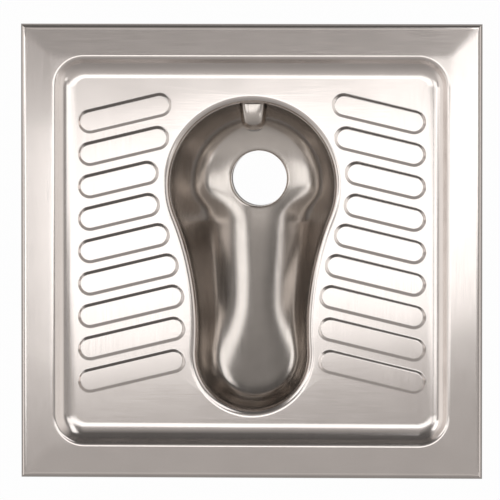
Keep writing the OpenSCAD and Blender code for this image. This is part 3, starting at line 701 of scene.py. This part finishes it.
class PAN_OT_bowl(bpy.types.Operator):
    """Draws the bowl from its welding flange down to the drain"""

    bl_idname = "pan.bowl"
    bl_label = "Bowl"

    GATHER = radians(34)  # Half the angle at the drain that the bowl's front end runs to.
    WALL_REACH = 20 * MM  # How far in from the mouth the rings follow it, before they turn to the drain.
    WALL_RINGS, FLOOR_RINGS = 30, 34
    DRAIN_LIP = ((2.6, 0.08), (1.6, 0.3), (0.7, 0.7), (0, 1.2))  # mm out from the hole, mm down.

    def execute(self, context):
        s, b = sizes(), bowl_sizes()
        tray_z = tray_height()
        mouth = Keyhole(b)
        shape = BowlShape(b, mouth)
        lap = s.sheet + b.lap_gap
        bm = bmesh.new()
        mouth.spin_round(bm, [bm.verts.new(mouth.start())])
        layer = bm.verts.layers.int.new("number")
        outline = [Vector((*mouth.point(i, 0), 0)) for i in range(mouth.count)]
        for v in bm.verts:
            v[layer] = min(range(mouth.count), key=lambda i: (outline[i] - v.co).length_squared)

        def level(off, depth):
            """Level ring off outside the mouth."""
            return lambda n: Vector((*mouth.point(n, off), tray_z - depth))

        def wall(inside):
            """Ring on the wall, that far inside the mouth."""

            def place(n):
                x, y = mouth.point(n, -inside)
                return Vector((x, y, tray_z - shape.depth(x, y, inside)))

            return place

        def floor(share):
            """Ring on the floor, a share of the way from the foot of the wall to the drain."""

            def place(n):
                foot = Vector(mouth.point(n, -self.WALL_REACH))
                a = self.drain_angle(n, mouth)
                ledge = Vector((shape.ledge_r * cos(a), b.drain_y + shape.ledge_r * sin(a)))
                p = foot.lerp(ledge, share)
                inside = max(mouth.inside(p.x, p.y), self.WALL_REACH)
                return Vector((p.x, p.y, tray_z - shape.depth(p.x, p.y, inside)))

            return place

        def drain(r, dip):
            """Round ring at the drain, dip below the floor."""

            def place(n):
                a = self.drain_angle(n, mouth)
                x, y = r * cos(a), b.drain_y + r * sin(a)
                return Vector((x, y, tray_z - shape.floor(x, y) - dip))

            return place

        rings = [level(b.mouth_r + b.weld_w, lap)]
        for x, z in bend((b.mouth_r, -b.mouth_r), b.mouth_r - lap, pi / 2, pi, steps=7):
            rings.append(level(x, -z))
        rings.append(level(lap, b.collar_h + MM))
        # The rings are closest where the wall is steepest, so that they are evenly spaced along it.
        turn = acos((1 - self.WALL_REACH / b.back_curve) ** 1.5)
        for i in range(self.WALL_RINGS + 1):
            rings.append(wall(b.back_curve * (1 - cos(turn * i / self.WALL_RINGS) ** (2 / 3))))
        for i in range(1, self.FLOOR_RINGS):
            rings.append(floor(i / self.FLOOR_RINGS))
        rings.append(drain(shape.ledge_r, 0))
        for out, down in self.DRAIN_LIP:
            rings.append(drain(shape.drain_r + out * MM, down * MM))
        grow_rings(bm, bm.edges[:], layer, rings)
        turn_up(bm)
        piece(
            "bowl_shell", bm, finish("drawn_stainless_bowl"), "bowl",
            thickness=s.sheet, weighted=False,
        )
        return {"FINISHED"}

    def drain_angle(self, number, mouth):
        """Angle round the drain that an outline point runs to. The front gathers into the trough."""
        number %= mouth.count
        quarter, gather = pi / 4, self.GATHER
        if number < mouth.BACK_STEPS:
            return -quarter + 1.5 * pi * number / mouth.BACK_STEPS
        number -= mouth.BACK_STEPS
        if number < mouth.SIDE_STEPS:
            return 5 * quarter + (quarter - gather) * number / mouth.SIDE_STEPS
        number -= mouth.SIDE_STEPS
        if number < mouth.FRONT_STEPS:
            return 1.5 * pi - gather + 2 * gather * number / mouth.FRONT_STEPS
        number -= mouth.FRONT_STEPS
        return 1.5 * pi + gather + (quarter - gather) * number / mouth.SIDE_STEPS


class PAN_OT_spreader(bpy.types.Operator):
    """Forms the spreader that turns the flush down the bowl's back wall"""

    bl_idname = "pan.spreader"
    bl_label = "Spreader"

    CROWN, CROWN_POWER = 13 * MM, 2.6  # Fall from the middle to the sides, and how late it comes.
    CURL, CURL_POWER = 24 * MM, 2.4  # Fall from the wall to the tip, and how late it comes.
    INTO_WALL = 1.2 * MM  # The hood's back runs this far into the bowl's wall.
    SKIRT = (14, 9, 4, 0)  # Rings of the upright skirt, in mm below the hood's edge.
    SIDE_STEPS, TIP_STEPS, HOOD_RINGS = 12, 24, 18

    def execute(self, context):
        s, b = sizes(), bowl_sizes()
        _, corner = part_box("spreader")
        wall_y = b.back_y + b.back_r
        half, tip_r = b.spreader_w / 2, b.spreader_tip_w / 2
        tip_y = wall_y - b.spreader_reach + tip_r
        shares = [i / self.SIDE_STEPS for i in range(self.SIDE_STEPS)]
        side = [(half + (tip_r - half) * t, corner.y + (tip_y - corner.y) * t) for t in shares]
        tip = bend((0, tip_y), tip_r, 0, -pi, self.TIP_STEPS)
        outline = [Vector((x, y, 0)) for x, y in side + tip + [(-x, y) for x, y in reversed(side)]]
        bm = bmesh.new()
        draw_chain(bm, outline)
        layer = bm.verts.layers.int.new("number")
        for number, v in enumerate(bm.verts):
            v[layer] = number

        def ring(size, drop):
            """The plan drawn in to a share of its width: level at the wall, curling down to the tip."""

            def place(n):
                p = outline[n]
                q = Vector((p.x * size, tip_y + (p.y - tip_y) * size if p.y < tip_y else p.y))
                out = max(0.0, min(1.0, (wall_y - q.y) / b.spreader_reach))
                z = corner.z - drop
                z -= self.CURL * (1 - sqrt(1 - out**self.CURL_POWER))
                z -= self.CROWN * (1 - sqrt(1 - size**self.CROWN_POWER))
                deep = min(1.0, (corner.z - z) / (b.drain_depth - b.collar_h))
                curved = b.back_curve * (1 - (1 - deep * deep) ** (1 / 3))
                bow = b.back_r - sqrt(b.back_r**2 - q.x**2)
                return Vector((q.x, min(q.y, wall_y + self.INTO_WALL - curved - bow), z))

            return place

        rings = [ring(1, drop * MM) for drop in self.SKIRT]
        rings += [ring(cos(pi / 2 * i / self.HOOD_RINGS), 0) for i in range(1, self.HOOD_RINGS)]
        for edge in grow_rings(bm, bm.edges[:], layer, rings):
            for v in edge.verts:
                v.co.x = 0
        bmesh.ops.remove_doubles(bm, verts=bm.verts[:], dist=MERGE)
        turn_up(bm)
        piece(
            "spreader_hood", bm, finish("folded_stainless_strip"), "spreader",
            thickness=s.sheet, weighted=False,
        )
        return {"FINISHED"}


class PAN_OT_fittings(bpy.types.Operator):
    """Gives the tube, rails, anchors and fasteners under the deck their finishes"""

    bl_idname = "pan.fittings"
    bl_label = "Fittings"

    def execute(self, context):
        nodes_by_finish = {
            "rolled_stainless_tube": ["drain_neck", "inlet_pipe"],
            # The last three are hidden by the dressed pieces that replace them.
            "folded_stainless_strip": ["pipe_strap", "earth_tag", "deck", "bowl", "spreader"],
            "mill_finish_channel": [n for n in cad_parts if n.startswith("rail")],
            "galvanised_strap": [
                "anchor_front_left", "anchor_front_right", "anchor_back_left", "anchor_back_right"
            ],
            "zinc_plated_steel": [
                "anchor_studs", "anchor_washers", "anchor_nuts", "earth_bolt", "earth_washers", "earth_nut"
            ],
        }
        for name, nodes in nodes_by_finish.items():
            for node in nodes:
                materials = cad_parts[node].data.materials
                materials.clear()
                materials.append(finish(name))
        return {"FINISHED"}


# ---- Stage ----


def aimed(at, way):
    """Place of a light or camera whose back points along way, with the pan's back at its top."""
    way = way.normalized()
    right = Vector((0, 1, 0)).cross(way).normalized()
    return Matrix.LocRotScale(at, Matrix((right, way.cross(right), way)).transposed(), None)


def seen_directly(tree):
    """1 for what the camera sees, straight or through glass, and 0 for other rays."""
    path = add(tree, "ShaderNodeLightPath").outputs
    rays = {0: path["Is Camera Ray"], 1: path["Is Transmission Ray"]}
    return add(tree, "ShaderNodeMath", rays, operation="MAXIMUM").outputs[0]


class PAN_OT_stage(bpy.types.Operator):
    """Sets the pale floor, the room light, the lamps and the camera"""

    bl_idname = "pan.stage"
    bl_label = "Stage"

    FLOOR_HALF = 12  # Metres from the floor's middle to its sides.
    WHITE_SEEN = 0.985  # Share of plain white in the floor, as the camera sees it.
    WHITE_MIRRORED = 0.15  # Share of plain white in the floor, as the metal mirrors it.

    def execute(self, context):
        self.floor()
        self.sky()
        self.lights()
        self.camera()
        context.scene.view_settings.view_transform = "Standard"
        return {"FINISHED"}

    def floor(self):
        """Floor just under the part: almost white to the camera, mid grey in the light that it throws."""
        low, _ = cad_box
        bm = bmesh.new()
        bmesh.ops.create_grid(bm, x_segments=1, y_segments=1, size=self.FLOOR_HALF)
        bmesh.ops.translate(bm, verts=bm.verts[:], vec=(0, 0, low[2] - MM))
        mesh = bpy.data.meshes.new("floor")
        bm.to_mesh(mesh)
        bm.free()
        floor = bpy.data.objects.new("floor", mesh)
        bpy.context.scene.collection.objects.link(floor)
        material = bpy.data.materials.new("pale_floor")
        material.use_nodes = True
        tree = material.node_tree
        tree.nodes.clear()
        tone = (*bpy.context.scene.pan_finishes.floor, 1.0)
        matt = add(tree, "ShaderNodeBsdfDiffuse", {"Color": tone})
        glow = add(tree, "ShaderNodeEmission", {"Color": (1, 1, 1, 1), "Strength": 1.0})
        mirrored = add(tree, "ShaderNodeLightPath").outputs["Is Glossy Ray"]
        shares = []
        for ray, share in ((seen_directly(tree), self.WHITE_SEEN), (mirrored, self.WHITE_MIRRORED)):
            shares.append(add(tree, "ShaderNodeMath", {0: ray, 1: share}, operation="MULTIPLY"))
        white = add(
            tree, "ShaderNodeMath", {0: shares[0].outputs[0], 1: shares[1].outputs[0]}, operation="MAXIMUM"
        )
        both = add(
            tree, "ShaderNodeMixShader", {0: white.outputs[0], 1: matt.outputs[0], 2: glow.outputs[0]}
        )
        add(tree, "ShaderNodeOutputMaterial", {"Surface": both.outputs[0]})
        mesh.materials.append(material)

    def sky(self):
        """Soft room light: even from low down to high up, brighter overhead. The camera sees white."""
        world = bpy.data.worlds.new("studio")
        bpy.context.scene.world = world
        world.use_nodes = True
        tree = world.node_tree
        tree.nodes.clear()
        place = add(tree, "ShaderNodeTexCoord").outputs["Generated"]
        x, y, z = add(tree, "ShaderNodeSeparateXYZ", {"Vector": place}).outputs
        ramp = add(tree, "ShaderNodeValToRGB", {"Fac": z})
        stops = [(0.0, 0.20), (0.25, 0.36), (0.40, 0.38), (0.60, 0.36), (0.80, 0.40), (1.0, 0.50)]
        while len(ramp.color_ramp.elements) < len(stops):
            ramp.color_ramp.elements.new(0.5)
        for element, (at, level) in zip(ramp.color_ramp.elements, stops):
            element.position = at
            element.color = (level, level, level, 1)

        def faded(level, fades):
            """A level times each fade: an axis, two places on it, and the shares at those places."""
            for axis, low, high, at_low, at_high in fades:
                fade = add(
                    tree, "ShaderNodeMapRange",
                    {"Value": axis, "From Min": low, "From Max": high, "To Min": at_low, "To Max": at_high},
                )
                level = add(
                    tree, "ShaderNodeMath", {0: level, 1: fade.outputs[0]}, operation="MULTIPLY"
                ).outputs[0]
            return level

        # The room's back half is darker, and its back wall darker still.
        level = faded(ramp.outputs[0], [(y, 0.35, 0.8, 1.0, 0.5), (y, -0.05, 0.05, 1.0, 0.65)])
        paler = [
            # The left wall and the right wall, low down.
            [(x, -0.9, -0.5, 1.05, 0.0), (z, 0.42, 0.52, 1.0, 0.0)],
            [(x, 0.5, 0.9, 0.0, 0.95), (z, 0.42, 0.52, 1.0, 0.0)],
            # The front wall.
            [(y, -0.35, -0.2, 1.0, 0.0), (y, -0.95, -0.35, 0.35, 0.66)],
            # A glow high up towards the back, strongest in its middle.
            [(y, 0.1, 0.7, 0.85, 0.25), (y, 0.06, 0.16, 0.0, 1.0), (x, -0.45, -0.1, 0.45, 1.0),
             (x, 0.04, 0.12, 1.0, 0.35), (z, 0.55, 0.70, 0.0, 1.0)],
        ]
        for fades in paler:
            more = faded(1.0, fades)
            level = add(tree, "ShaderNodeMath", {0: level, 1: more}, operation="MAXIMUM").outputs[0]
        sky = add(tree, "ShaderNodeBackground", {"Color": (1, 0.965, 0.935, 1), "Strength": level})
        white = add(tree, "ShaderNodeBackground", {"Color": (1, 1, 1, 1), "Strength": 1.0})
        both = add(
            tree, "ShaderNodeMixShader", {0: seen_directly(tree), 1: sky.outputs[0], 2: white.outputs[0]}
        )
        add(tree, "ShaderNodeOutputWorld", {"Surface": both.outputs[0]})

    def lights(self):
        """Three panels overhead and three softboxes. Level is how bright each one shows in a mirror."""
        lamps = [
            # Name, place, the place it points at, size, level, and turn about its own axis in degrees.
            ("overhead_panel", (-0.05, -0.005, 1.2), (-0.05, -0.005, 0), (0.90, 0.39), 1.3, 7),
            ("left_panel", (-0.975, -0.05, 1.2), (-0.975, -0.05, 0), (0.75, 0.50), 1.3, 0),
            ("right_panel", (0.66, 0.18, 1.2), (0.66, 0.18, 0), (0.70, 0.46), 1.3, 0),
            ("front_softbox", (1.43, -0.65, 1.2), (0, 0, 0), (0.45, 0.30), 1.0, 0),
            ("right_softbox", (0.55, 0.90, 1.10), (0, 0, 0), (0.55, 0.9), 1.5, 0),
            ("left_softbox", (-1.25, 0.55, 0.95), (0, 0, 0), (0.60, 0.9), 1.5, 0),
        ]
        for name, at, to, (w, d), level, turn in lamps:
            light = bpy.data.lights.new(name, "AREA")
            light.shape = "RECTANGLE"
            light.size, light.size_y = w, d
            light.energy = level * pi * w * d
            lamp = bpy.data.objects.new(name, light)
            turned = Matrix.Rotation(radians(turn), 4, "Z")
            lamp.matrix_world = aimed(Vector(at), Vector(at) - Vector(to)) @ turned
            lamp.visible_camera = False
            bpy.context.scene.collection.objects.link(lamp)

    def camera(self):
        """Long lens almost straight above, leaning a little to the back and to the right."""
        lean_back, lean_right = radians(2.7), radians(3.75)
        distance, field, sensor = 12.0, 0.6598, 36
        target = Vector((-1.3 * MM, 1.9 * MM, sizes().rim_h))
        data = bpy.data.cameras.new("camera")
        camera = bpy.data.objects.new("camera", data)
        bpy.context.scene.collection.objects.link(camera)
        way = Vector((sin(lean_right), sin(lean_back), cos(lean_right))).normalized()
        camera.matrix_world = aimed(target + way * distance, way)
        data.sensor_width = sensor
        data.lens = sensor * distance / field
        data.clip_start, data.clip_end = 1.0, 100.0
        data.dof.use_dof = False
        bpy.context.scene.camera = camera


class PAN_PT_tools(bpy.types.Panel):
    """Lists the pan's pieces and the stage"""

    bl_label = "Squat pan"
    bl_idname = "PAN_PT_tools"
    bl_space_type = "VIEW_3D"
    bl_region_type = "UI"
    bl_category = "Squat pan"

    def draw(self, context):
        for operator in OPERATORS:
            self.layout.operator(operator.bl_idname)
        for name, group in GROUPS.items():
            box = self.layout.box()
            for setting in group.__annotations__:
                box.prop(getattr(context.scene, name), setting)


OPERATORS = [PAN_OT_deck, PAN_OT_bowl, PAN_OT_spreader, PAN_OT_fittings, PAN_OT_stage]
GROUPS = {"pan_deck_sizes": DeckSizes, "pan_bowl_sizes": BowlSizes, "pan_finishes": Finishes}


def register():
    for group in GROUPS.values():
        bpy.utils.register_class(group)
    for name, group in GROUPS.items():
        setattr(bpy.types.Scene, name, bpy.props.PointerProperty(type=group))
    for made in [*OPERATORS, PAN_PT_tools]:
        bpy.utils.register_class(made)


def unregister():
    for made in [*OPERATORS, PAN_PT_tools]:
        bpy.utils.unregister_class(made)
    for name, group in GROUPS.items():
        delattr(bpy.types.Scene, name)
        bpy.utils.unregister_class(group)


def main():
    register()
    bpy.ops.pan.deck()
    bpy.ops.pan.bowl()
    bpy.ops.pan.spreader()
    bpy.ops.pan.fittings()
    bpy.ops.pan.stage()
    bpy.context.view_layer.update()


if __name__ == "__main__":
    main()
